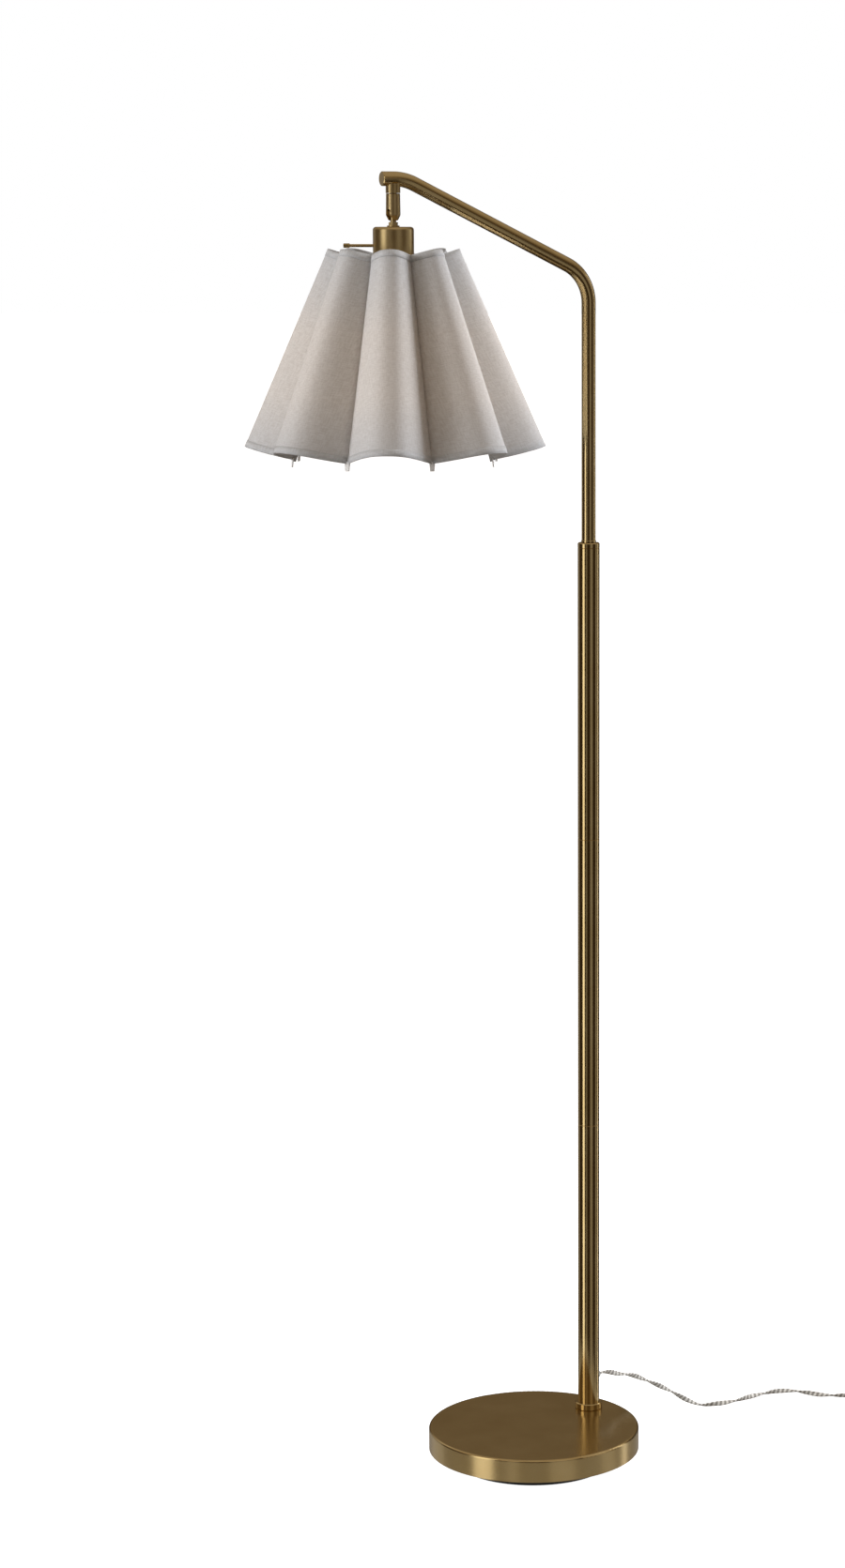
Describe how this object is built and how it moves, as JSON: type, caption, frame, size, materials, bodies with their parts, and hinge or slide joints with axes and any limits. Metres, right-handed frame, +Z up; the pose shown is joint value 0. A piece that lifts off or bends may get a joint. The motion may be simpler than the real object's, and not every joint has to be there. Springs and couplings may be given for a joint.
{
  "type": "arc floor lamp",
  "caption": "Floor lamp with a weighted round base, straight pole, bent arm, and a swivelling, tilting head with a turn switch and a scalloped fabric shade.",
  "frame": {"origin": "middle of the base's underside, on the floor", "axes": "+Z up; the arm points along -X from the pole; the pole stands on the +X side of the base, turned towards +Y"},
  "size_m": [0.8251, 0.3174, 1.4841],
  "materials": {
    "brass_finish": "antique brass plate on steel, brushed and lacquered",
    "bare_brass": "bare stamped brass",
    "zinc_steel": "zinc plated",
    "iron_weight": "as cast",
    "black_plastic": "moulded, matt",
    "rubber_pad": "matt",
    "clear_pvc": "clear extruded PVC over tinned wire",
    "phenolic": "moulded",
    "porcelain": "moulded heat-proof resin, white",
    "shade_wire": "white powder coat",
    "shade_cloth": "plain weave, lined",
    "bulb_glass": "frosted inside"
  },
  "bodies": {
    "stand": {"base_shell": "brass_finish", "base_weight": "iron_weight", "base_cover": "black_plastic", "base_pad": "rubber_pad", "cover_screws": "zinc_steel", "pole_bolt": "zinc_steel", "bolt_washer": "zinc_steel", "pole_collar": "brass_finish", "pole_foot": "zinc_steel", "pole_lower": "brass_finish", "pole_middle": "brass_finish", "pole_upper": "brass_finish", "coupler_low": "zinc_steel", "coupler_high": "zinc_steel", "pole_cap": "brass_finish", "neck_ring": "brass_finish", "arm_tube": "brass_finish", "arm_end_cap": "brass_finish", "cord_bushing": "clear_pvc", "inner_lead": "clear_pvc", "swivel_collar": "brass_finish", "swivel_nipple": "zinc_steel", "cord": "clear_pvc", "cord_coil": "clear_pvc", "coil_tie": "black_plastic", "cord_tail": "clear_pvc", "plug_body": "clear_pvc", "plug_blades": "bare_brass"},
    "swivel": {"swivel_barrel": "brass_finish", "friction_pad": "zinc_steel", "spring_washers": "zinc_steel"},
    "head": {"swivel_ball": "brass_finish", "lock_nut": "brass_finish", "stem_nut": "zinc_steel", "head_cup": "brass_finish", "head_lead": "clear_pvc", "switch_housing": "phenolic", "holder_body": "porcelain", "holder_shell": "bare_brass", "holder_contact": "bare_brass", "terminal_screws": "bare_brass", "shade_ring": "phenolic", "shade_fitter": "shade_wire", "shade_frame": "shade_wire", "shade_fabric": "shade_cloth", "bulb_cap": "zinc_steel", "bulb_glass": "bulb_glass", "bulb_contact": "zinc_steel"},
    "switch": {"switch_rod": "brass_finish", "switch_knob": "brass_finish", "switch_cam": "zinc_steel"}
  },
  "joints": [
    {"name": "head_swivel", "type": "hinge", "parent": "stand", "child": "swivel", "pos_m": [-0.15336, 0.0275, 1.455], "axis": [0, 0, 1], "range_deg": [-100, 60]},
    {"name": "head_tilt", "type": "hinge", "parent": "swivel", "child": "head", "pos_m": [-0.15336, 0.0275, 1.43918], "axis": [-0.3746, 0.9272, 0], "range_deg": [0, 80]},
    {"name": "switch_turn", "type": "hinge", "parent": "head", "child": "switch", "pos_m": [-0.15336, 0.0275, 1.40378], "axis": [-0.8988, 0.4384, 0], "continuous": true}
  ]
}
